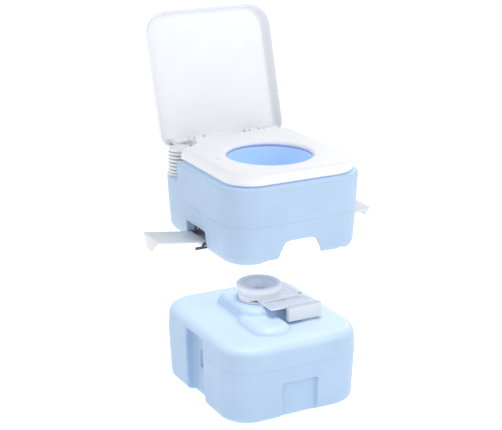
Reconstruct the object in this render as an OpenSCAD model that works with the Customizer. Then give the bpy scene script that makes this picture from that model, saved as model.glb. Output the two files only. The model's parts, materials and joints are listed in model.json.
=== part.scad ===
// Portable camp toilet: a waste tank with a slide valve, and above it a flush tank with bowl, seat and lid.
// Drawn with the flush unit lifted clear, the lid open and both side latches swung out.

/* [Overall] */
// Width over both tanks
body_w = 365; // [340:5:390]
// Depth over both tanks, front to back
body_d = 413; // [395:1:430]
// Corner radius of both tanks in plan
corner_r = 80; // [74:1:84]
// Height of the flush unit's base above the floor when it is lifted clear
lifted_z = 392; // [380:4:460]
// Wall thickness of the blow-moulded tanks
wall = 3.5; // [3:0.25:4]

/* [Waste tank] */
// Height of the waste tank's flat shoulder
tank_h = 190; // [186:1:194]
// Height of the raised boss that carries the valve
boss_h = 222; // [218:1:222]
// Height of the mould parting line on the waste tank
tank_part_z = 130; // [120:1:140]
// Width of the recess that the side latch swings into
latch_recess_w = 94; // [92:1:98]
// Depth of that recess
latch_recess_d = 26; // [25:1:27]

/* [Slide valve] */
// Sideways place of the valve's centre
valve_x = 8; // [4:1:10]
// Front-to-back place of the valve's centre
valve_y = 20; // [16:1:22]
// Radius of the valve's bore
valve_bore_r = 36; // [33:1:36]
// Outer radius of the mouth ring
ring_r = 57; // [54:1:58]
// Height of the mouth ring's top
ring_top_z = 262.5; // [259:0.5:262.5]

/* [Flush unit] */
// Height of the flush tank's deck above its base
deck_h = 188; // [186:1:188]
// Height of the parting line above the flush unit's base
deck_part_z = 95; // [88:1:102]
// Radius of the seat's hole
seat_hole_r = 102; // [98:1:103]
// Front-to-back place of the seat hole's centre
seat_hole_y = -46; // [-48:1:-44]
// Thickness of the seat
seat_t = 29; // [26:0.5:29]
// Tilt of the open lid, measured from the closed lid
lid_open = 106; // [92:1:107]
// Length of a side latch from its pivot to its lip
latch_len = 122; // [112:1:126]
// Angle of the swung-out latch from hanging straight down
latch_open = 98; // [80:1:100]

/* [Hidden] */
$fn = 64;

half_w = body_w / 2;
half_d = body_d / 2;
far = 300;

// Waste tank
tank_draft = 5.5;
tank_foot_r = 13;
tank_shoulder_r = 22;
recess_top_z = 168;
pocket_y = 20;
pocket_z = [70, 116];
pocket_d = 10;
grip_w = 96;
grip_d = 15;
grip_top_z = 89;
boss_x = [-72, 108];
boss_y = [-74, 130];
boss_r = 44;
arm_x = [-84, 20];
arm_y = [-158, 0];
arm_h = 207;
arm_r = 48;
alcove_x = [-125, 115];
alcove_d = 72;
alcove_z = [90, 172];

// Slide valve
frame_x = [-16, 100];
frame_y = [-44, 78];
frame_back_x = 92;
housing_r = 51;
frame_base_t = 4;
blade_z = boss_h + 5.5;
blade_t = 4.5;
cover_z = boss_h + 11;
cover_t = 4;
blade_x = [-32, 48];
blade_y = [-12, 60];
plate_x = [100.6, 114];
plate_front_y = -88;
handle_x = [24, 116];
handle_h = 35;
handle_d = 15;
handle_t = 3.2;
neck_r = 47;
funnel_r = 41;
screw_r = 1.8;
valve_screw_at = [[-8, 71], [60, 71], [84, 71], [92, -37]];

// Pour spout
spout_x = -95;
spout_y = half_d - 35;
spout_axis_z = 132;
spout_r = 24;
spout_bore_r = 20.5;
spout_len = 172;
spout_neck_r = 22;
cap_r = 28;
cap_h = 22;

// Flush unit, heights above its own base
deck_w = 362;
deck_d = 411;
foot_r = 22;
deck_edge_r = 8;
cavity_x = [-100, 130];
cavity_y = [-192, 145];
cavity_h = 52;
well_r = 63;
well_h = 77;
arch_w = [54, 33];
arch_h = 50;
notch_x = 150;
notch_h = 50;
notch_y = 50;
notch_corner_r = 1.2;
alcove_r = 62;
alcove_at = [-163, 150];
alcove_back = [-110, 175];
shelf_z = 138;
bay_x = 32;
bay_y = 160;
bay_z = 146;
bowl_rim_r = 107;
bowl_top_z = deck_h + 18;
bowl_t = 3;
outlet_r = 39;
outlet_z = 73;
flange_r = 121;
flange_t = 2;

// Seat and lid, heights above the flush unit's base
seat_w = 336;
seat_y = [-199, 165];
seat_z = deck_h + 2.5;
seat_front_r = 72;
seat_back_r = 40;
seat_lip = 10;
seat_pocket_r = 115;
axis_y = 180;
axis_z = deck_h + 22;
pin_r = 4;
pin_fit = 0.06;
lug_r = 8;
ear_cut = 3;
ear_in = [52, 62];
seat_lug = [63, 90];
ear_out = [91, 104];
lid_lug = [105, 144];
lid_w = 340;
lid_front_r = 58;
lid_back_r = 28;
lid_y = [-138, 192];
lid_z = [deck_h + 32.5, deck_h + 60];
lid_t = 3.2;
hinge_screw_x = [70, 84];
hinge_screw_r = 1.6;

// Pump and filler, heights above the flush unit's base
pump_x = -143;
pump_y = 147;
bellows_r = [22, 29];
bellows_z = [143, 197];
bellows_folds = 6;
bellows_wall = 1.6;
pump_cap_h = 9;
hose_r = 5;
hose_path = [[-131, 147, 122], [-70, 147, 122], [-70, 46, 122], [-70, 46, 160]];
nozzle_turn = -53;
filler_x = 0;
filler_y = 183;
filler_neck_r = 14.5;

// Side latches, heights above the flush unit's base
latch_x = 172;
latch_z = 16;
latch_w = 88;
latch_t = 3.4;
latch_face = 8.5;
latch_lip = 30;
latch_pin_r = 2.5;
latch_pin_fit = 0.05;
latch_barrel_r = 5.5;
ear_y = [44.5, 48.5];
ear_reach = 24;
ear_r = 7;
ear_arm_h = 6;
ear_back_t = 3;
latch_screw_at = [[-30, 33], [30, 33]];

shell_blue = [0.74, 0.83, 0.94];
bowl_blue = [0.56, 0.74, 0.98];
white = [0.95, 0.95, 0.96];
pale_grey = [0.83, 0.85, 0.87];
dark = [0.16, 0.17, 0.19];
rubber = [0.3, 0.32, 0.35];
steel = [0.72, 0.73, 0.75];

// Profile points [inset, z] of a rounded bottom edge, from the flat base up to the side
function foot_arc(inset, z, r, n = 5) =
    [for (i = [0 : n]) [inset + r * (1 - sin(90 * i / n)), z + r * (1 - cos(90 * i / n))]];

// Profile points [inset, z] of a rounded top edge, from the side up to the flat top
function brow_arc(inset, z, r, n = 5) =
    [for (i = [0 : n]) [inset + r * (1 - cos(90 * i / n)), z - r * (1 - sin(90 * i / n))]];

// A side profile of [inset, z] points as a closed section, drawn outwards from r inside the edge
function section(prof, r) =
    concat([[0, prof[0][1]]], [for (p = prof) [r - p[0], p[1]]], [[0, prof[len(prof) - 1][1]]]);

// A block between two y values, with rounded front and back corners in plan, whose side follows a profile
module slab(w, y, front_r, back_r, prof) {
    low = prof[0][1];
    front_y = y[0] + front_r;
    back_y = y[1] - back_r;
    both_sides() {
        translate([w / 2 - front_r, front_y, 0])
            rotate([0, 0, 270])
                rotate_extrude(angle = 90)
                    polygon(section(prof, front_r));
        translate([w / 2 - back_r, back_y, 0])
            rotate_extrude(angle = 90)
                polygon(section(prof, back_r));
        translate([w / 2 - front_r, (front_y + back_y) / 2, 0])
            rotate([90, 0, 0])
                linear_extrude(back_y - front_y, center = true)
                    polygon(section(prof, front_r));
    }
    translate([0, front_y, 0])
        mirror([0, 1, 0])
            rotate([90, 0, 90])
                linear_extrude(w - 2 * front_r, center = true)
                    polygon(section(prof, front_r));
    translate([0, back_y, 0])
        rotate([90, 0, 90])
            linear_extrude(w - 2 * back_r, center = true)
                polygon(section(prof, back_r));
    translate([front_r - w / 2, front_y, low])
        cube([w - 2 * front_r, back_y - front_y, prof[len(prof) - 1][1] - low]);
}

module soft_block(w, d, r, prof) {
    slab(w, [-d / 2, d / 2], r, r, prof);
}

// A flat rounded rectangle between two x and two y values
module plate2d(x, y, r) {
    translate([x[0] + r, y[0]])
        square([x[1] - x[0] - 2 * r, y[1] - y[0]]);
    translate([x[0], y[0] + r])
        square([x[1] - x[0], y[1] - y[0] - 2 * r]);
    for (cx = [x[0] + r, x[1] - r], cy = [y[0] + r, y[1] - r])
        translate([cx, cy])
            circle(r);
}

module plate(x, y, z, r) {
    translate([0, 0, z[0]])
        linear_extrude(z[1] - z[0])
            plate2d(x, y, r);
}

module tube(r_out, r_in, z) {
    translate([0, 0, z[0]])
        difference() {
            cylinder(h = z[1] - z[0], r = r_out);
            translate([0, 0, -1])
                cylinder(h = z[1] - z[0] + 2, r = r_in);
        }
}

// A bar of round section along X
module x_rod(r, x) {
    translate([x[0], 0, 0])
        rotate([0, 90, 0])
            cylinder(h = x[1] - x[0], r = r);
}

// A bar of round section along Y
module y_rod(r, y) {
    translate([0, y[1], 0])
        rotate([90, 0, 0])
            cylinder(h = y[1] - y[0], r = r);
}

module screw(r, length) {
    cylinder(h = 1.8, r = r * 1.9);
    translate([0, 0, -length])
        cylinder(h = length + 0.5, r = r);
}

module lifted() {
    translate([0, 0, lifted_z])
        children();
}

module both_sides() {
    for (s = [0, 1])
        mirror([s, 0, 0])
            children();
}

// ---------- Waste tank ----------

module boss(g) {
    translate([(boss_x[0] + boss_x[1]) / 2, (boss_y[0] + boss_y[1]) / 2, 0])
        soft_block(boss_x[1] - boss_x[0] - 2 * g, boss_y[1] - boss_y[0] - 2 * g, boss_r - g, [
            [0, tank_h - 12], [0, tank_h - 2 * g], [4, tank_h + 8 - g], [10, boss_h - 9 - g],
            [15, boss_h - 3 - g], [22, boss_h - g]
        ]);
    // The lower arm that runs from the boss towards the front left corner
    translate([(arm_x[0] + arm_x[1]) / 2, (arm_y[0] + arm_y[1]) / 2, 0])
        soft_block(arm_x[1] - arm_x[0] - 2 * g, arm_y[1] - arm_y[0] - 2 * g, arm_r - g, [
            [0, tank_h - 12], [0, tank_h - 2 * g], [5, arm_h - 8 - g], [16, arm_h - g]
        ]);
}

module tank_recesses(g) {
    both_sides() {
        plate([half_w - latch_recess_d - g, far], [-latch_recess_w / 2 - g, latch_recess_w / 2 + g],
            [-1, recess_top_z + g], 5);
        plate([half_w - latch_recess_d - pocket_d - g, half_w], [-pocket_y - g, pocket_y + g],
            [pocket_z[0] - g, pocket_z[1] + g], 3);
    }
    plate([-grip_w / 2 - g, grip_w / 2 + g], [-far, grip_d + g - half_d], [-1, grip_top_z + g], 5);
    plate([alcove_x[0] - g, alcove_x[1] + g], [half_d - alcove_d - g, far],
        [alcove_z[0] - g, alcove_z[1] + g], 8);
}

// The tank's outside when g is 0, and its inside when g is the wall
module tank_form(g) {
    difference() {
        union() {
            soft_block(body_w - 2 * g, body_d - 2 * g, corner_r - g, concat(
                foot_arc(tank_draft, g, tank_foot_r - g),
                [[0, tank_part_z]],
                brow_arc(1.5, tank_h - g, tank_shoulder_r - g)
            ));
            boss(g);
        }
        tank_recesses(g);
    }
}

module waste_tank() {
    color(shell_blue)
        difference() {
            tank_form(0);
            tank_form(wall);
            translate([valve_x, valve_y, boss_h - 20])
                cylinder(h = 30, r = valve_bore_r + 4);
            translate([spout_x, spout_y, alcove_z[0] - 15])
                cylinder(h = 30, r = spout_neck_r);
        }
}

// ---------- Slide valve ----------

module valve_screw_holes() {
    for (p = valve_screw_at)
        translate([p[0], p[1], cover_z - 9])
            cylinder(h = 20, r = screw_r + 0.2);
}

// The valve housing in plan: a round part under the ring and a flat part towards the front
module housing2d() {
    translate([valve_x, valve_y])
        circle(housing_r);
    polygon([
        [frame_x[0], frame_y[0]], [frame_x[1], frame_y[0]],
        [frame_back_x, frame_y[1]], [frame_x[0], frame_y[1]]
    ]);
}

module valve_frame() {
    color(white)
        difference() {
            union() {
                translate([0, 0, boss_h])
                    linear_extrude(cover_z - boss_h)
                        housing2d();
                translate([valve_x, valve_y, boss_h - 12])
                    cylinder(h = 13, r = valve_bore_r + 3.9);
            }
            plate([blade_x[0] - 1, blade_x[1] + 1], [-far, blade_y[1] + 1.5],
                [boss_h + frame_base_t, cover_z + 1], 1);
            translate([valve_x, valve_y, boss_h - 20])
                cylinder(h = 40, r = valve_bore_r);
            valve_screw_holes();
        }
}

module gate_seal() {
    color(rubber)
        translate([valve_x, valve_y, 0])
            tube(valve_bore_r + 5, valve_bore_r + 0.5, [boss_h + frame_base_t, blade_z - 0.3]);
}

module valve_collar() {
    color(white)
        difference() {
            union() {
                translate([0, 0, cover_z])
                    linear_extrude(cover_t)
                        housing2d();
                translate([valve_x, valve_y, cover_z])
                    cylinder(h = ring_top_z - 14 - cover_z, r = neck_r);
                translate([valve_x, valve_y, 0])
                    rotate_extrude()
                        polygon([
                            [neck_r - 8, ring_top_z - 15], [ring_r - 2, ring_top_z - 15],
                            [ring_r, ring_top_z - 13], [ring_r, ring_top_z - 3],
                            [ring_r - 3, ring_top_z], [neck_r - 8, ring_top_z]
                        ]);
            }
            translate([valve_x, valve_y, 0])
                rotate_extrude()
                    polygon([
                        [0, cover_z - 1], [valve_bore_r, cover_z - 1], [valve_bore_r, cover_z + 4],
                        [funnel_r, ring_top_z - 6], [funnel_r + 6, ring_top_z - 6],
                        [funnel_r + 6, ring_top_z + 1], [0, ring_top_z + 1]
                    ]);
            valve_screw_holes();
        }
}

module mouth_seal() {
    color(pale_grey)
        translate([valve_x, valve_y, 0])
            rotate_extrude()
                polygon([
                    [funnel_r, ring_top_z - 6], [funnel_r + 5.95, ring_top_z - 6],
                    [funnel_r + 5.95, ring_top_z - 0.5], [funnel_r + 3, ring_top_z - 0.5],
                    [funnel_r, ring_top_z - 3]
                ]);
}

// The blade under the ring, its tongue towards the front, and the wide plate in front of the housing
module gate_blade() {
    color(white)
        translate([0, 0, blade_z])
            linear_extrude(blade_t) {
                plate2d(blade_x, blade_y, 4);
                plate2d([frame_x[0], blade_x[1]], [plate_front_y + 10, blade_y[1]], 2);
                translate([frame_x[0] + 6, plate_front_y + 6])
                    circle(6);
                polygon([
                    [frame_x[0], frame_y[0] - 2], [frame_x[0], plate_front_y + 6],
                    [frame_x[0] + 6, plate_front_y], [plate_x[1], plate_front_y], [plate_x[0], frame_y[0] - 2]
                ]);
            }
}

// A pull hanging in front of the blade, hollow behind
module gate_handle() {
    high = blade_z + blade_t;
    color(pale_grey)
        difference() {
            plate(handle_x, [plate_front_y - handle_d, plate_front_y], [high - handle_h, high], 3);
            plate([handle_x[0] + handle_t, handle_x[1] - handle_t],
                [plate_front_y - handle_d + handle_t, plate_front_y + 5],
                [high - handle_h - 1, high - handle_t], 1);
        }
}

module valve_screws() {
    color(steel)
        for (p = valve_screw_at)
            translate([p[0], p[1], cover_z + cover_t])
                screw(screw_r, 8);
}

// ---------- Pour spout ----------

module spout_collar() {
    color(white)
        translate([spout_x, spout_y, 0])
            difference() {
                union() {
                    tube(spout_neck_r - 0.1, 17, [alcove_z[0] - wall - 6, alcove_z[0]]);
                    tube(spout_neck_r + 6, 17, [alcove_z[0], alcove_z[0] + 7]);
                }
                cylinder(h = far, r = 17);
            }
}

// An elbow that stands on the collar and lies along the tank's back
module pour_spout() {
    color(white)
        translate([spout_x, spout_y, 0])
            difference() {
                union() {
                    translate([0, 0, alcove_z[0] + 7.4])
                        cylinder(h = spout_axis_z - alcove_z[0] - 7.4, r = spout_r);
                    translate([0, 0, spout_axis_z]) {
                        sphere(spout_r);
                        x_rod(spout_r, [0, spout_len]);
                        x_rod(spout_r + 2.5, [spout_len - 30, spout_len - 26]);
                    }
                    tube(16.94, 14, [alcove_z[0] - wall - 4, alcove_z[0] + 8]);
                }
                translate([0, 0, spout_axis_z]) {
                    sphere(spout_bore_r);
                    x_rod(spout_bore_r, [0, spout_len + 1]);
                }
                translate([0, 0, alcove_z[0] - 20])
                    cylinder(h = spout_axis_z - alcove_z[0] + 20, r = 14);
            }
}

module spout_cap() {
    color(white)
        translate([spout_x, spout_y, spout_axis_z])
            difference() {
                x_rod(cap_r, [spout_len - cap_h + 4, spout_len + 4]);
                x_rod(spout_r + 0.4, [spout_len - cap_h, spout_len + 1.5]);
            }
}

module spout_seal() {
    color(rubber)
        translate([spout_x, spout_y, spout_axis_z])
            difference() {
                x_rod(spout_r - 0.3, [spout_len + 0.2, spout_len + 1.5]);
                x_rod(spout_bore_r - 2, [spout_len - 1, spout_len + 3]);
            }
}

// ---------- Flush tank and bowl ----------

// The rear left corner cut away down to the shelf that the pump stands on
module corner_alcove(g) {
    translate([0, 0, shelf_z - g])
        linear_extrude(far) {
            translate(alcove_at)
                circle(alcove_r + g);
            translate([-far, alcove_at[1] - alcove_r - g])
                square([far + alcove_at[0], 2 * far]);
            translate([-far, alcove_back[1]])
                square([far + alcove_back[0] + g, far]);
        }
}

module flush_recesses(g) {
    plate([cavity_x[0] - g, cavity_x[1] + g], [cavity_y[0] - g, cavity_y[1] + g], [-1, cavity_h + g], 22);
    translate([valve_x, valve_y, -1])
        cylinder(h = well_h + g + 1, r = well_r + g);
    translate([0, g - 180, 0])
        rotate([90, 0, 0])
            linear_extrude(far)
                for (s = [-1, 1])
                    polygon([
                        [0, -1], [s * (arch_w[0] + 14 + g), -1], [s * (arch_w[0] + 5 + g), arch_h * 0.1],
                        [s * (arch_w[0] + g), arch_h * 0.24], [s * (arch_w[0] - 4 + g), arch_h * 0.5],
                        [s * (arch_w[1] + 10 + g), arch_h * 0.82],
                        [s * (arch_w[1] + 5 + g), arch_h * 0.94 + g],
                        [s * (arch_w[1] - 4 + g), arch_h + g], [0, arch_h + g]
                    ]);
    both_sides()
        plate([notch_x - g, far], [-notch_y - g, notch_y + g], [-1, notch_h + g],
            notch_corner_r + g);
    corner_alcove(g);
    plate([-bay_x - g, bay_x + g], [bay_y - g, far], [bay_z - g, far], 8);
}

// The flush tank's outside when g is 0, and its inside when g is the wall
module flush_form(g) {
    difference() {
        soft_block(deck_w - 2 * g, deck_d - 2 * g, corner_r - 2 - g, concat(
            foot_arc(9, g, foot_r - g),
            [[4, deck_part_z]],
            brow_arc(0, deck_h - g, deck_edge_r - g)
        ));
        flush_recesses(g);
    }
}

module flush_tank() {
    color(shell_blue)
        lifted()
            difference() {
                flush_form(0);
                flush_form(wall);
                translate([0, seat_hole_y, deck_h - 20])
                    cylinder(h = 40, r = bowl_rim_r + 2);
                translate([valve_x, valve_y, well_h - 20])
                    cylinder(h = 40, r = outlet_r + 5);
                translate([pump_x, pump_y, shelf_z - 20])
                    cylinder(h = 40, r = 16);
                translate([filler_x, filler_y, bay_z - 20])
                    cylinder(h = 40, r = filler_neck_r - 3);
                both_sides()
                    for (x = hinge_screw_x)
                        translate([x, axis_y, deck_h - 10])
                            cylinder(h = 20, r = hinge_screw_r + 0.2);
                both_sides()
                    for (p = latch_screw_at)
                        translate([0, p[0], p[1]])
                            x_rod(screw_r + 0.2, [notch_x - 10, notch_x + 1]);
            }
}

// The bowl's body as a hull of discs, drawn in by t
module bowl_form(t) {
    hull() {
        translate([0, seat_hole_y, deck_h - 26])
            cylinder(h = 26, r = bowl_rim_r - t, $fn = 48);
        translate([4, -16, 118])
            cylinder(h = 1, r = 80 - t, $fn = 48);
        translate([valve_x, valve_y, outlet_z + 14 + t])
            cylinder(h = 1, r = outlet_r + 4 - t, $fn = 48);
    }
}

module toilet_bowl() {
    color(bowl_blue)
        lifted()
            difference() {
                union() {
                    bowl_form(0);
                    translate([0, seat_hole_y, 0]) {
                        tube(flange_r, bowl_rim_r - 1, [deck_h, deck_h + flange_t]);
                        tube(bowl_rim_r, bowl_rim_r - bowl_t, [deck_h - 2, bowl_top_z]);
                    }
                    translate([valve_x, valve_y, outlet_z])
                        cylinder(h = 20, r = outlet_r + 3);
                }
                bowl_form(bowl_t);
                translate([0, seat_hole_y, deck_h - 1])
                    cylinder(h = 40, r = bowl_rim_r - bowl_t);
                translate([valve_x, valve_y, outlet_z - 1])
                    cylinder(h = 40, r = outlet_r);
                translate(hose_path[3] + [0, 0, 12])
                    rotate([0, 90, nozzle_turn])
                        cylinder(h = 40, r = 4.8);
            }
}

module bowl_gasket() {
    color(rubber)
        lifted()
            translate([0, seat_hole_y, 0])
                tube(bowl_rim_r + 1.9, bowl_rim_r + 0.2, [deck_h - wall, deck_h]);
}

module outlet_seal() {
    color(rubber)
        lifted()
            translate([valve_x, valve_y, 0])
                tube(outlet_r + 4.9, outlet_r + 3.1, [well_h - 1.5, well_h + wall]);
}

// ---------- Seat and lid ----------

module seat_plate() {
    difference() {
        slab(seat_w, seat_y, seat_front_r, seat_back_r, concat(
            foot_arc(0, seat_z, 3, 3), brow_arc(0, seat_z + seat_t, 18)
        ));
        translate([0, seat_hole_y, seat_z - 1])
            cylinder(h = seat_t + 2, r = seat_hole_r);
        translate([0, seat_hole_y, seat_z + seat_t - 6])
            cylinder(h = 6.1, r1 = seat_hole_r - 0.1, r2 = seat_hole_r + 5);
        translate([0, seat_hole_y, seat_z - 1])
            cylinder(h = seat_t - seat_lip + 1, r = seat_pocket_r);
        translate([alcove_at[0], alcove_at[1], seat_z - 1])
            cylinder(h = seat_t + 2, r = alcove_r - 1);
    }
}

module seat() {
    color(white)
        lifted() {
            seat_plate();
            both_sides()
                difference() {
                    union() {
                        translate([0, axis_y, axis_z])
                            x_rod(lug_r, seat_lug);
                        translate([seat_lug[0], seat_y[1] - 6, axis_z - 7])
                            cube([seat_lug[1] - seat_lug[0], axis_y - seat_y[1] + 2, 13]);
                    }
                    translate([0, axis_y, axis_z])
                        x_rod(pin_r + pin_fit, [seat_lug[0] - 1, seat_lug[1] + 1]);
                }
        }
}

module seat_bumpers() {
    color(rubber)
        lifted()
            both_sides()
                for (y = [-110, 70])
                    translate([140, y, deck_h + 0.2])
                        cylinder(h = seat_z - deck_h - 0.2, r = 7);
}

module lid_form(g, low) {
    slab(lid_w - 2 * g, [lid_y[0] + g, lid_y[1] - g], lid_front_r - g, lid_back_r - g,
        concat([[0, low]], brow_arc(1.5, lid_z[1] - g, 14 - g)));
}

// The lid as it lies when closed
module closed_lid() {
    difference() {
        lid_form(0, lid_z[0]);
        lid_form(lid_t, lid_z[0] - 5);
    }
    both_sides()
        difference() {
            union() {
                translate([0, axis_y, axis_z])
                    x_rod(lug_r, lid_lug);
                translate([lid_lug[0] + 1, axis_y - lug_r + 2, axis_z])
                    cube([lid_lug[1] - lid_lug[0] - 2, lug_r + 2, lid_z[1] - lid_t - axis_z + 1]);
            }
            translate([0, axis_y, axis_z])
                x_rod(pin_r + pin_fit, [lid_lug[0] - 1, lid_lug[1] + 1]);
        }
}

module lid_pose() {
    lifted()
        translate([0, axis_y, axis_z])
            rotate([-lid_open, 0, 0])
                translate([0, -axis_y, -axis_z])
                    children();
}

module lid() {
    color(white)
        lid_pose()
            closed_lid();
}

module hinge_block() {
    lifted()
        difference() {
            union() {
                plate([ear_in[0], ear_out[1]], [axis_y - 11, axis_y + 13], [deck_h, deck_h + 3], 3);
                for (x = [ear_in, ear_out]) {
                    translate([0, axis_y, axis_z])
                        x_rod(lug_r, x);
                    translate([x[0], axis_y - lug_r, deck_h])
                        cube([x[1] - x[0], 2 * lug_r - ear_cut, axis_z - deck_h]);
                }
            }
            translate([0, axis_y, axis_z])
                x_rod(pin_r, [ear_in[0] - 1, ear_out[1] + 1]);
            for (x = hinge_screw_x)
                translate([x, axis_y, deck_h - 1])
                    cylinder(h = 10, r = hinge_screw_r + 0.2);
        }
}

module hinge_pin() {
    lifted()
        translate([0, axis_y, axis_z])
            x_rod(pin_r, [ear_in[0], lid_lug[1] - 4]);
}

module hinge_block_right() { color(white) hinge_block(); }
module hinge_block_left() { color(white) mirror([1, 0, 0]) hinge_block(); }
module hinge_pin_right() { color(steel) hinge_pin(); }
module hinge_pin_left() { color(steel) mirror([1, 0, 0]) hinge_pin(); }

module hinge_screws() {
    color(steel)
        lifted()
            both_sides()
                for (x = hinge_screw_x)
                    translate([x, axis_y, deck_h + 3])
                        screw(hinge_screw_r, 9);
}

// ---------- Flush pump and filler ----------

module pump_base() {
    color(white)
        lifted()
            translate([pump_x, pump_y, 0]) {
                tube(bellows_r[1] + 2, 12, [shelf_z, bellows_z[0]]);
                tube(15.9, 12, [shelf_z - wall - 3, shelf_z]);
            }
}

module pump_bellows() {
    step = (bellows_z[1] - bellows_z[0]) / bellows_folds;
    outer = [for (i = [0 : bellows_folds - 1]) each [
        [bellows_r[0], bellows_z[0] + step * i], [bellows_r[1] - 1, bellows_z[0] + step * (i + 0.38)],
        [bellows_r[1] - 1, bellows_z[0] + step * (i + 0.62)]
    ]];
    top = [[bellows_r[0], bellows_z[1]]];
    inner = [for (i = [bellows_folds - 1 : -1 : 0]) each [
        [bellows_r[1] - 1 - bellows_wall, bellows_z[0] + step * (i + 0.58)],
        [bellows_r[1] - 1 - bellows_wall, bellows_z[0] + step * (i + 0.42)],
        [bellows_r[0] - bellows_wall, bellows_z[0] + step * i]
    ]];
    color(white)
        lifted()
            translate([pump_x, pump_y, 0])
                rotate_extrude()
                    polygon(concat(outer, top, [[bellows_r[0] - bellows_wall, bellows_z[1]]], inner));
}

module pump_cap() {
    color(white)
        lifted()
            translate([pump_x, pump_y, 0])
                rotate_extrude()
                    polygon([
                        [0, bellows_z[1]], [bellows_r[0] + 3, bellows_z[1]],
                        [bellows_r[0] + 4, bellows_z[1] + 1.5],
                        [bellows_r[0] + 4, bellows_z[1] + pump_cap_h - 3],
                        [bellows_r[0], bellows_z[1] + pump_cap_h], [0, bellows_z[1] + pump_cap_h]
                    ]);
}

module pump_valve() {
    color(pale_grey)
        lifted()
            translate([pump_x, pump_y, 0])
                difference() {
                    translate([0, 0, 104])
                        cylinder(h = shelf_z - 104 + 2, r = 11.9);
                    translate([0, 0, -1])
                        cylinder(h = 110, r = 4.1);
                    translate([0, 0, 112])
                        cylinder(h = far, r = 8);
                }
}

module suction_tube() {
    color(pale_grey)
        lifted()
            translate([pump_x, pump_y, 0])
                tube(4, 2.6, [36, 109]);
}

// A hose inside the tank, from the pump valve to the nozzle at the bowl's rim
module flush_hose() {
    color(pale_grey)
        lifted() {
            translate(hose_path[0])
                x_rod(hose_r, [0, hose_path[1][0] - hose_path[0][0]]);
            translate([hose_path[1][0], 0, hose_path[1][2]])
                y_rod(hose_r, [hose_path[2][1], hose_path[1][1]]);
            translate(hose_path[2])
                cylinder(h = hose_path[3][2] - hose_path[2][2], r = hose_r);
            for (p = [hose_path[1], hose_path[2]])
                translate(p)
                    sphere(hose_r);
        }
}

module flush_nozzle() {
    color(pale_grey)
        lifted()
            translate(hose_path[3])
                difference() {
                    union() {
                        cylinder(h = 18, r = 7);
                        translate([0, 0, 12])
                            rotate([0, 90, nozzle_turn])
                                cylinder(h = 20, r = 4.5);
                    }
                    translate([0, 0, -1])
                        cylinder(h = 13, r = 3.5);
                    translate([0, 0, 12])
                        rotate([0, 90, nozzle_turn])
                            cylinder(h = 21, r = 3);
                }
}

module filler_neck() {
    color(white)
        lifted()
            translate([filler_x, filler_y, 0]) {
                tube(filler_neck_r, 9, [bay_z, bay_z + 16]);
                tube(filler_neck_r - 3.1, 9, [bay_z - wall - 3, bay_z]);
            }
}

module filler_cap() {
    color(white)
        lifted()
            translate([filler_x, filler_y, 0])
                difference() {
                    translate([0, 0, bay_z + 1.5])
                        cylinder(h = 20, r = filler_neck_r + 4);
                    translate([0, 0, bay_z])
                        cylinder(h = 18, r = filler_neck_r + 0.4);
                }
}

module filler_seal() {
    color(rubber)
        lifted()
            translate([filler_x, filler_y, 0])
                tube(filler_neck_r - 0.4, 10, [bay_z + 16.3, bay_z + 18]);
}

// ---------- Side latches ----------

// The right-hand latch hanging closed, with its pivot on the origin
module closed_latch() {
    lip_z = latch_pin_r - latch_len;
    difference() {
        union() {
            y_rod(latch_barrel_r, [-latch_w / 2, latch_w / 2]);
            translate([0, -latch_w / 2, -2.5])
                cube([latch_face, latch_w, 5]);
            translate([latch_face - latch_t, 0, 0])
                rotate([0, 90, 0])
                    rotate([0, 0, 90])
                        linear_extrude(latch_t)
                            plate2d([-latch_w / 2, latch_w / 2], [lip_z, 7], 5);
            translate([latch_face - latch_lip, 0, lip_z])
                linear_extrude(latch_t)
                    polygon([
                        [0, -14], [0, 14], [4, 18], [9, 18],
                        [latch_lip - 9, latch_w / 2 - 8], [latch_lip, latch_w / 2 - 5],
                        [latch_lip, 5 - latch_w / 2], [latch_lip - 9, 8 - latch_w / 2],
                        [9, -18], [4, -18]
                    ]);
        }
        y_rod(latch_pin_r + latch_pin_fit, [-latch_w, latch_w]);
    }
}

module side_latch() {
    lifted()
        translate([latch_x, 0, latch_z])
            rotate([0, -latch_open, 0])
                closed_latch();
}

module latch_bracket() {
    lifted()
        translate([latch_x, 0, latch_z])
            difference() {
                union() {
                    for (s = [0, 1])
                        mirror([0, s, 0]) {
                            y_rod(ear_r, [ear_y[0], ear_y[1]]);
                            translate([notch_x - latch_x, ear_y[0], -ear_r])
                                cube([latch_x - notch_x, ear_y[1] - ear_y[0], 2 * ear_r]);
                            translate([notch_x - latch_x, ear_y[0], -ear_r])
                                cube([latch_x - notch_x + ear_reach, ear_y[1] - ear_y[0], ear_arm_h]);
                        }
                    translate([notch_x - latch_x, -ear_y[1], -ear_r])
                        cube([ear_back_t, 2 * ear_y[1], 30]);
                }
                y_rod(latch_pin_r, [-far, far]);
                for (p = latch_screw_at)
                    translate([0, p[0], p[1] - latch_z])
                        x_rod(screw_r + 0.2, [notch_x - latch_x - 1, notch_x - latch_x + 4]);
            }
}

module latch_pin() {
    lifted()
        translate([latch_x, 0, latch_z])
            y_rod(latch_pin_r, [-ear_y[1], ear_y[1]]);
}

module latch_bracket_right() { color(dark) latch_bracket(); }
module latch_bracket_left() { color(dark) mirror([1, 0, 0]) latch_bracket(); }
module latch_pin_right() { color(steel) latch_pin(); }
module latch_pin_left() { color(steel) mirror([1, 0, 0]) latch_pin(); }
module latch_right() { color(pale_grey) side_latch(); }
module latch_left() { color(pale_grey) mirror([1, 0, 0]) side_latch(); }

module latch_screws() {
    color(steel)
        lifted()
            both_sides()
                for (p = latch_screw_at)
                    translate([notch_x + 3, p[0], p[1]])
                        rotate([0, 90, 0])
                            screw(screw_r, 9);
}

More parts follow.
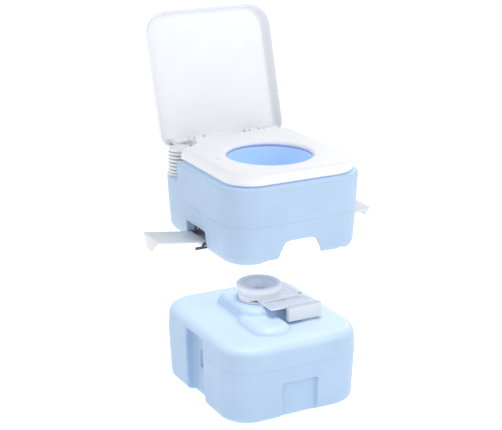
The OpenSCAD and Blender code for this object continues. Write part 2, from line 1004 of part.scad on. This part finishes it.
waste_tank();
valve_frame();
valve_collar();
mouth_seal();
gate_blade();
gate_handle();
gate_seal();
valve_screws();
spout_collar();
pour_spout();
spout_cap();
spout_seal();
flush_tank();
toilet_bowl();
bowl_gasket();
outlet_seal();
seat();
seat_bumpers();
lid();
hinge_block_left();
hinge_block_right();
hinge_pin_left();
hinge_pin_right();
hinge_screws();
pump_base();
pump_bellows();
pump_cap();
pump_valve();
suction_tube();
flush_hose();
flush_nozzle();
filler_neck();
filler_cap();
filler_seal();
latch_bracket_left();
latch_bracket_right();
latch_pin_left();
latch_pin_right();
latch_left();
latch_right();
latch_screws();
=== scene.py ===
"""Portable camp toilet: the looks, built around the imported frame. Lengths are metres."""

import json
import math

import bmesh
import bpy
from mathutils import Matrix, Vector

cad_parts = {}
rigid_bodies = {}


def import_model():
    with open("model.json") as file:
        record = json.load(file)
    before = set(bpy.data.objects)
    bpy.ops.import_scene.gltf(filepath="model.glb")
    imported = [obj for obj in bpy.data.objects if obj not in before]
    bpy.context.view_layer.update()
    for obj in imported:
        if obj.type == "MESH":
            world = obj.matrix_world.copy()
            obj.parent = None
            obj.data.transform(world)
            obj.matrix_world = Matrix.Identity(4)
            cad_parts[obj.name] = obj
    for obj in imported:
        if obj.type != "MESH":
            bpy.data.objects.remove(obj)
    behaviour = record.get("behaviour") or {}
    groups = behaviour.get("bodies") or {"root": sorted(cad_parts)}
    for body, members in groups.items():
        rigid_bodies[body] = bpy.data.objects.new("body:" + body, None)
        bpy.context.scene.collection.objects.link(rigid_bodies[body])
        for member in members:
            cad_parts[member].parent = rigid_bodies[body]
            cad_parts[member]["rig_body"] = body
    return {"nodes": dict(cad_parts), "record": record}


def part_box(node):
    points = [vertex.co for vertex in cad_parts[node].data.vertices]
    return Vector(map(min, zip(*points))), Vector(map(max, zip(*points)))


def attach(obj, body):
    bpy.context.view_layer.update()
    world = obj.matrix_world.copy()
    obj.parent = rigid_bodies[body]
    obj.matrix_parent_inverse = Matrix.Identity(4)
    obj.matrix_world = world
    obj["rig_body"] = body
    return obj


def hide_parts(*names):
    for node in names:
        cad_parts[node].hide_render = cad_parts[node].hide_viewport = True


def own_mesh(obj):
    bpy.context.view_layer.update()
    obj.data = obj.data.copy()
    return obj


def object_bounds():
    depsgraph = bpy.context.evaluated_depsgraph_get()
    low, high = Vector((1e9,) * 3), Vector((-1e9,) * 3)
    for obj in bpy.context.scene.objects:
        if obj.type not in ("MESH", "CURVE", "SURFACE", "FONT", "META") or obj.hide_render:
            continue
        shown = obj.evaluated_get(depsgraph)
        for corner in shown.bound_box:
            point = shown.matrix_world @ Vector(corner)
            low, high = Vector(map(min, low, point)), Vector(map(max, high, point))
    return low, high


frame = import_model()
CAD_BOX = [list(corner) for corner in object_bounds()]
MM = 0.001
WHITE = (1, 1, 1)


# ---------- Camera, light and floor ----------

SENSOR_MM = 36.0
WIDTH_PX = 502
AZIMUTH = math.radians(-28.0)
ELEVATION = math.radians(18.2)
DISTANCE = 3.34
PX_PER_M = 414.0  # size of a metre in the picture, at the object
TARGET_RIGHT = -0.0220  # the point looked at: how far right of the object's axis in the picture
TARGET_UP = 0.4434  # and how high above the object's lowest point
CLIP_END = 60

SKY_STRENGTH = 0.62
STUDIO_LAMPS = (  # name, place, watts
    ("front_right", (1.7, -2.6, 2.3), 29),
    ("front_left", (-2.3, -2.0, 2.1), 9),
    ("back_left", (-2.2, 2.2, 2.1), 12),
    ("back_right", (2.3, 2.1, 2.1), 12),
)
STUDIO_TARGET = (0, 0, 0.45)
STUDIO_LAMP_SIZE = 1.6
TOP_LAMPS = (  # name, watts, colour, pieces it lights, bodies that can block it
    ("over_waste_tank", 50, (1.0, 0.84, 0.74), ["waste_tank_moulding"],
     ("waste_tank", "gate", "spout", "spout_cap")),
    ("over_seat", 5.5, WHITE, ["seat_moulding", "latch_left_part", "latch_right_part"], ("seat", "lid")),
    ("over_flush_tank", 13, WHITE, ["flush_tank_moulding"], ("flush_unit", "pump")),
)
TOP_LAMP_PLACE = (0.1, -0.1, 2.6)
TOP_LAMP_TARGET = (0, 0, 0.2)
TOP_LAMP_SIZE = 1.2

FLOOR_RADIUS = 14
FLOOR_SIDES = 96
FLOOR_COLOUR = (0.97, 0.97, 0.97, 1)
FLOOR_ROUGHNESS = 0.9
FLOOR_GLOSS = 0.1
FLOOR_GLOW = 0.43


def aim(obj, place, target):
    obj.location = place
    obj.rotation_euler = (Vector(target) - Vector(place)).to_track_quat("-Z", "Y").to_euler()


def make_camera():
    lowest = CAD_BOX[0][2]
    right = Vector((math.cos(AZIMUTH), math.sin(AZIMUTH), 0))
    target = right * TARGET_RIGHT + Vector((0, 0, lowest + TARGET_UP))
    back = Vector((
        math.sin(AZIMUTH) * math.cos(ELEVATION),
        -math.cos(AZIMUTH) * math.cos(ELEVATION),
        math.sin(ELEVATION),
    ))
    data = bpy.data.cameras.new("camera")
    data.sensor_width = SENSOR_MM
    data.lens = PX_PER_M * DISTANCE * SENSOR_MM / WIDTH_PX
    data.clip_end = CLIP_END
    cam = bpy.data.objects.new("camera", data)
    bpy.context.scene.collection.objects.link(cam)
    aim(cam, target + back * DISTANCE, target)
    bpy.context.scene.camera = cam


def make_light(name, place, target, size, watts, colour=WHITE):
    data = bpy.data.lights.new(name, "AREA")
    data.shape = "DISK"
    data.size = size
    data.energy = watts
    data.color = colour
    obj = bpy.data.objects.new(name, data)
    bpy.context.scene.collection.objects.link(obj)
    aim(obj, place, target)
    return obj


def light_tops():
    """The units look as if each were lit alone, so what faces up on each has a light of its own."""
    for name, watts, colour, lit, shading in TOP_LAMPS:
        lamp = make_light(name, TOP_LAMP_PLACE, TOP_LAMP_TARGET, TOP_LAMP_SIZE, watts, colour)
        receivers = bpy.data.collections.new(name + "_lit")
        for piece in lit:
            receivers.objects.link(bpy.data.objects[piece])
        blockers = bpy.data.collections.new(name + "_shading")
        for obj in bpy.data.objects:
            if obj.type == "MESH" and obj.get("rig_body") in shading:
                blockers.objects.link(obj)
        lamp.light_linking.receiver_collection = receivers
        lamp.light_linking.blocker_collection = blockers


def make_stage():
    scene = bpy.context.scene
    scene.view_settings.view_transform = "Standard"
    world = bpy.data.worlds.new("studio")
    world.use_nodes = True
    sky = world.node_tree.nodes["Background"]
    sky.inputs["Color"].default_value = (*WHITE, 1)
    sky.inputs["Strength"].default_value = SKY_STRENGTH
    scene.world = world
    for name, place, watts in STUDIO_LAMPS:
        make_light(name, place, STUDIO_TARGET, STUDIO_LAMP_SIZE, watts)
    mesh = bpy.data.meshes.new("studio_floor")
    bm = bmesh.new()
    bmesh.ops.create_circle(bm, cap_ends=True, radius=FLOOR_RADIUS, segments=FLOOR_SIDES)
    bm.to_mesh(mesh)
    bm.free()
    floor = bpy.data.objects.new("studio_floor", mesh)
    scene.collection.objects.link(floor)
    paint = bpy.data.materials.new("studio_floor")
    paint.use_nodes = True
    shader = paint.node_tree.nodes["Principled BSDF"]
    shader.inputs["Base Color"].default_value = FLOOR_COLOUR
    shader.inputs["Roughness"].default_value = FLOOR_ROUGHNESS
    shader.inputs["Specular IOR Level"].default_value = FLOOR_GLOSS
    shader.inputs["Emission Color"].default_value = (*WHITE, 1)
    shader.inputs["Emission Strength"].default_value = FLOOR_GLOW
    mesh.materials.append(paint)


# ---------- Materials ----------

# What all the materials share. A span is the range of a noise or of pointiness that runs from none to full.
# Painted light: the colour of the glow that a surface gives off though it is no lamp.
PAINTED_GLOW_COLOUR = (0.48, 0.52, 1.0, 1)
MILKY_RADIUS = (0.9, 1.0, 1.2)
MILKY_SCALE = 0.006
PALER = 0.5  # the pale end of the colour variation, as a share of the variation
DEEPER = 1.6  # the power that sets its deep end
EDGE_SPAN = (0.53, 0.62)
SCUFF_SCALE = 160
SCUFF_SPAN = (0.35, 0.65)
LEAST_SCUFF = 0.1  # share of the wear that every edge has
WORN_TO_WHITE = 0.45
HAZE_SCALE = 34
HAZE_BELOW, HAZE_ABOVE = 0.06, 0.08  # how far the roughness drifts either way
SWELL_SCALE = 22
SWELL_WEIGHT = 1.6
RELIEF_DEPTH = 0.6 * MM


def srgb(*rgb):
    return tuple((v / 255 / 12.92) if v <= 10 else ((v / 255 + 0.055) / 1.055) ** 2.4 for v in rgb)


def material(name, colour, rough, vary, grain, bump, wear, gloss, metal=0.0, milky=0.0, blotch=9.0, painted_glow=0.0):
    """Plastic, rubber or metal: cloudy colour and roughness, a fine grain, paler worn edges, and for some a
    painted glow of light.
    """
    mat = bpy.data.materials.new(name)
    mat.use_nodes = True
    tree = mat.node_tree
    shader = tree.nodes["Principled BSDF"]
    shader.inputs["Metallic"].default_value = metal
    shader.inputs["Specular IOR Level"].default_value = gloss
    # Painted light: the surface gives off light of its own, though it is no lamp.
    if painted_glow:
        shader.inputs["Emission Color"].default_value = PAINTED_GLOW_COLOUR
        shader.inputs["Emission Strength"].default_value = painted_glow
    if milky:
        shader.inputs["Subsurface Weight"].default_value = milky
        shader.inputs["Subsurface Radius"].default_value = MILKY_RADIUS
        shader.inputs["Subsurface Scale"].default_value = MILKY_SCALE

    def node(kind, **values):
        made = tree.nodes.new(kind)
        for key, value in values.items():
            setattr(made, key, value)
        return made

    def link(a, b):
        tree.links.new(a, b)

    def noise(scale, detail, rough_n=0.55):
        made = node("ShaderNodeTexNoise")
        made.inputs["Scale"].default_value = scale
        made.inputs["Detail"].default_value = detail
        made.inputs["Roughness"].default_value = rough_n
        link(coords.outputs["Object"], made.inputs["Vector"])
        return made.outputs["Fac"]

    def span(source, low, high, from_low=0.3, from_high=0.7):
        made = node("ShaderNodeMapRange")
        link(source, made.inputs["Value"])
        made.inputs["From Min"].default_value = from_low
        made.inputs["From Max"].default_value = from_high
        made.inputs["To Min"].default_value = low
        made.inputs["To Max"].default_value = high
        return made.outputs["Result"]

    def mix(factor, a, b):
        made = node("ShaderNodeMix", data_type="RGBA")
        link(factor, made.inputs[0])
        for socket, value in ((made.inputs[6], a), (made.inputs[7], b)):
            if hasattr(value, "is_linked"):
                link(value, socket)
            else:
                socket.default_value = (*value, 1)
        return made.outputs[2]

    coords = node("ShaderNodeTexCoord")
    cloud = noise(blotch, 4)
    deep = tuple(c * (1 - vary) ** DEEPER for c in colour)
    pale = tuple(min(1, c * (1 + vary * PALER)) for c in colour)
    base = mix(span(cloud, 0, 1), deep, pale)

    shape = node("ShaderNodeNewGeometry")
    scuff = noise(SCUFF_SCALE, 5, 0.7)
    edge = span(shape.outputs["Pointiness"], 0, 1, *EDGE_SPAN)
    rubbed = node("ShaderNodeMath", operation="MULTIPLY")
    link(edge, rubbed.inputs[0])
    link(span(scuff, LEAST_SCUFF * wear, wear, *SCUFF_SPAN), rubbed.inputs[1])
    worn = tuple(c + (1 - c) * WORN_TO_WHITE for c in colour)
    link(mix(rubbed.outputs[0], base, worn), shader.inputs["Base Color"])

    haze = noise(HAZE_SCALE, 5, 0.6)
    link(span(haze, rough - HAZE_BELOW, rough + HAZE_ABOVE), shader.inputs["Roughness"])

    fine = noise(grain, 3)
    swell = noise(SWELL_SCALE, 2)
    skin = node("ShaderNodeMath", operation="MULTIPLY_ADD")
    link(swell, skin.inputs[0])
    skin.inputs[1].default_value = SWELL_WEIGHT
    link(fine, skin.inputs[2])
    relief = node("ShaderNodeBump")
    relief.inputs["Strength"].default_value = bump
    relief.inputs["Distance"].default_value = RELIEF_DEPTH
    link(skin.outputs[0], relief.inputs["Height"])
    link(relief.outputs["Normal"], shader.inputs["Normal"])
    return mat


LOOKS = {  # colour, roughness, colour variation, grain, bump, wear, gloss, and what only some have
    "blue_shell": ((180, 205, 233), 0.42, 0.035, 700, 0.10, 0.30, 0.40, dict(milky=0.12)),
    # The bowl's glow is painted light that brightens its blue.
    "bowl_plastic": ((182, 219, 255), 0.22, 0.03, 500, 0.04, 0.0, 0.50, dict(milky=0.1, painted_glow=0.20)),
    "white_plastic": ((243, 245, 250), 0.33, 0.015, 800, 0.06, 0.0, 0.45, dict(milky=0.1)),
    "grey_plastic": ((232, 235, 238), 0.36, 0.03, 900, 0.08, 0.25, 0.45, {}),
    "dark_plastic": ((62, 68, 80), 0.42, 0.08, 900, 0.10, 0.2, 0.40, {}),
    "pale_rubber": ((232, 236, 242), 0.55, 0.03, 1200, 0.10, 0.0, 0.30, {}),
    "seal_rubber": ((58, 60, 64), 0.60, 0.08, 1200, 0.14, 0.1, 0.30, {}),
    "steel": ((190, 192, 196), 0.28, 0.05, 1500, 0.05, 0.1, 0.50, dict(metal=1.0)),
}
MATS = {
    name: material(name, srgb(*colour), *numbers, **extras)
    for name, (colour, *numbers, extras) in LOOKS.items()
}
SLOT_OF = {part["node"]: part["material_slot"] for part in frame["record"]["subparts"]}
BODY_OF = {n: b for b, ns in frame["record"]["behaviour"]["bodies"].items() for n in ns}


def paint_cad():
    for name, obj in frame["nodes"].items():
        obj.data.materials.clear()
        obj.data.materials.append(MATS[SLOT_OF[name]])


# ---------- Making pieces ----------

WELD = 2e-6  # vertices nearer than this are one
FLAT_DEGREES = 0.6  # CAD facets that meet at less than this become one face
BEVEL_DEGREES = 32  # an edge sharper than this is rounded
BEVEL_STEPS = 3
LATHE_SIDES = 72

MOULD_LINE_HALF = 0.7 * MM  # half its height
MOULD_LINE_PROUD = 0.2 * MM
MOULD_LINE_ROOT = 1.2 * MM  # how deep it starts inside the wall
MOULD_LINE_CROWN = 0.45  # its flat top, as a share of its height
NORMAL_REACH = 3  # a point's sideways direction comes from the points this far before and after it
MOULD_LINE_SECTION = (  # out from the wall, up
    (-MOULD_LINE_ROOT, -MOULD_LINE_HALF),
    (MOULD_LINE_PROUD * 0.5, -MOULD_LINE_HALF),
    (MOULD_LINE_PROUD, -MOULD_LINE_HALF * MOULD_LINE_CROWN),
    (MOULD_LINE_PROUD, MOULD_LINE_HALF * MOULD_LINE_CROWN),
    (MOULD_LINE_PROUD * 0.5, MOULD_LINE_HALF),
    (-MOULD_LINE_ROOT, MOULD_LINE_HALF),
)


def add_piece(name, mesh, node, sharp_degrees=None):
    """Shows a mesh in place of a CAD node, riding on its body."""
    obj = bpy.data.objects.new(name, mesh)
    bpy.context.scene.collection.objects.link(obj)
    slot = SLOT_OF[node]
    mesh.materials.clear()
    mesh.materials.append(MATS[slot])
    mesh.shade_smooth()
    if sharp_degrees:
        mesh.set_sharp_from_angle(angle=math.radians(sharp_degrees))
    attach(obj, BODY_OF[node])
    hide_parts(node)
    return obj


def cad_bmesh(node):
    bm = bmesh.new()
    bm.from_mesh(frame["nodes"][node].data)
    bmesh.ops.remove_doubles(bm, verts=bm.verts, dist=WELD)
    return bm


def modified(bm, *steps):
    """The mesh that a bmesh becomes after some (modifier type, settings). It frees the bmesh."""
    mesh = bpy.data.meshes.new("work")
    bm.to_mesh(mesh)
    bm.free()
    obj = bpy.data.objects.new("work", mesh)
    bpy.context.scene.collection.objects.link(obj)
    for kind, values in steps:
        mod = obj.modifiers.new(kind.lower(), kind)
        for key, value in values.items():
            setattr(mod, key, value)
    graph = bpy.context.evaluated_depsgraph_get()
    made = bpy.data.meshes.new_from_object(obj.evaluated_get(graph))
    bpy.data.objects.remove(obj)
    return made


def softened(node, voxel, passes):
    """A CAD solid with every edge and corner rounded, as moulding rounds them."""
    return modified(
        cad_bmesh(node),
        ("REMESH", dict(mode="VOXEL", voxel_size=voxel, use_smooth_shade=True)),
        ("SMOOTH", dict(factor=0.5, iterations=passes)),
    )


def bevelled(node, width):
    """A CAD solid with its sharp edges rounded off."""
    bm = cad_bmesh(node)
    bmesh.ops.dissolve_limit(bm, angle_limit=math.radians(FLAT_DEGREES), verts=bm.verts, edges=bm.edges)
    return modified(bm, ("BEVEL", dict(
        width=width, segments=BEVEL_STEPS, limit_method="ANGLE", angle_limit=math.radians(BEVEL_DEGREES),
        use_clamp_overlap=True, harden_normals=False,
    )))


def join_rings(bm, rings):
    """Faces between each ring of vertices and the next, and from the last back to the first."""
    made = []
    for here, there in zip(rings, rings[1:] + rings[:1]):
        for i in range(len(here)):
            j = (i + 1) % len(here)
            made.append(bm.faces.new((here[i], there[i], there[j], here[j])))
    bmesh.ops.recalc_face_normals(bm, faces=made)


def lathe(profile, centre):
    """A closed ring of profile points (radius, height) turned about a vertical line through centre."""
    bm = bmesh.new()
    rings = []
    for k in range(LATHE_SIDES):
        a = 2 * math.pi * k / LATHE_SIDES
        rings.append([
            bm.verts.new((centre[0] + r * math.cos(a), centre[1] + r * math.sin(a), centre[2] + z))
            for r, z in profile
        ])
    join_rings(bm, rings)
    mesh = bpy.data.meshes.new("lathe")
    bm.to_mesh(mesh)
    bm.free()
    return mesh


def outline_at(mesh, z):
    """The points, in order, of the widest loop in which a level plane at height z cuts a mesh."""
    bm = bmesh.new()
    bm.from_mesh(mesh)
    cut = bmesh.ops.bisect_plane(
        bm, geom=bm.verts[:] + bm.edges[:] + bm.faces[:], plane_co=(0, 0, z), plane_no=(0, 0, 1))
    links = {}
    for e in cut["geom_cut"]:
        if isinstance(e, bmesh.types.BMEdge):
            for v in e.verts:
                links.setdefault(v, []).append(e.other_vert(v))
    loops, seen = [], set()
    for start in links:
        if start in seen:
            continue
        loop, v = [], start
        while v is not None:
            seen.add(v)
            loop.append(v.co.copy())
            v = next((w for w in links[v] if w not in seen), None)
        loops.append(loop)
    bm.free()
    return max(loops, key=lambda lp: max(p.x for p in lp) - min(p.x for p in lp))


def add_mould_line(mesh, z):
    """Adds the raised line where the mould's halves met, around the outside of a mesh at height z."""
    outline = outline_at(mesh, z)
    count = len(outline)
    area = sum(a.x * b.y - b.x * a.y for a, b in zip(outline, outline[1:] + outline[:1]))
    side = 1 if area > 0 else -1
    bm = bmesh.new()
    bm.from_mesh(mesh)
    rings = []
    for i, p in enumerate(outline):
        t = outline[(i + NORMAL_REACH) % count] - outline[i - NORMAL_REACH]
        n = Vector((t.y, -t.x, 0)).normalized() * side
        rings.append([bm.verts.new(p + n * out + Vector((0, 0, up))) for out, up in MOULD_LINE_SECTION])
    join_rings(bm, rings)
    bm.to_mesh(mesh)
    bm.free()


# ---------- The object ----------

BELLOWS_FOLDS = 6
BELLOWS_STEPS = 20  # points along each fold
BELLOWS_GROOVE = 14 * MM  # how deep the grooves are
BELLOWS_WALL = 1.6 * MM
GROOVE_FROM, GROOVE_SLOPE = 0.50, 0.28  # where a groove starts and where it slopes, in half folds
BELLOWS_SHARP_DEGREES = 60

BEVEL_MM = {
    "valve_frame": 1.2, "valve_collar": 1.0, "gate_blade": 0.9, "gate_handle": 1.1, "spout_collar": 1.0,
    "pour_spout": 1.2, "spout_cap": 1.4, "latch_left": 0.9, "latch_right": 0.9, "latch_bracket_left": 0.7,
    "latch_bracket_right": 0.7, "hinge_block_left": 0.9, "hinge_block_right": 0.9, "pump_base": 1.0,
    "pump_cap": 1.8, "filler_neck": 0.6, "filler_cap": 1.2, "hinge_pin_left": 0.6, "hinge_pin_right": 0.6,
    "valve_screws": 0.3, "hinge_screws": 0.3, "latch_screws": 0.3,
}
SMALL_SHARP_DEGREES = 40

TANKS = (  # node, voxel in mm, smoothing passes, height of the mould line above the tank's underside
    ("waste_tank", 2.4, 12, 0.130),
    ("flush_tank", 2.4, 8, 0.095),
)
MOULDINGS = (  # node, piece, voxel in mm, smoothing passes
    ("seat", "seat_moulding", 2.6, 10),
    ("lid", "lid_moulding", 1.5, 6),
    ("toilet_bowl", "bowl_moulding", 2.0, 14),
)


def make_tanks():
    for node, voxel, passes, line_up in TANKS:
        mesh = softened(node, voxel * MM, passes)
        add_mould_line(mesh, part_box(node)[0].z + line_up)
        add_piece(node + "_moulding", mesh, node)


def make_mouldings():
    for node, piece, voxel, passes in MOULDINGS:
        add_piece(piece, softened(node, voxel * MM, passes), node)


def make_bellows():
    low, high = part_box("pump_bellows")
    centre = ((low.x + high.x) / 2, (low.y + high.y) / 2, low.z)
    height = high.z - low.z
    big = (high.x - low.x) / 2
    small = big - BELLOWS_GROOVE
    outside = []
    for i in range(BELLOWS_FOLDS * BELLOWS_STEPS + 1):
        t = i / BELLOWS_STEPS
        phase = abs((t % 1) - 0.5) * 2  # 0 on a fold's crest, 1 at the bottom of a groove
        slope = min(1, max(0, (phase - GROOVE_FROM) / GROOVE_SLOPE))
        swell = 1 - slope * slope * (3 - 2 * slope)
        outside.append((small + (big - small) * swell, height * i / (BELLOWS_FOLDS * BELLOWS_STEPS)))
    inside = [(r - BELLOWS_WALL, z) for r, z in reversed(outside)]
    mesh = lathe(outside + inside, centre)
    obj = add_piece("pump_bellows_moulding", mesh, "pump_bellows", BELLOWS_SHARP_DEGREES)
    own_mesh(obj)


def make_small_parts():
    for node, width in BEVEL_MM.items():
        add_piece(node + "_part", bevelled(node, width * MM), node, SMALL_SHARP_DEGREES)


make_camera()
make_stage()
paint_cad()
make_tanks()
make_mouldings()
make_bellows()
make_small_parts()
light_tops()
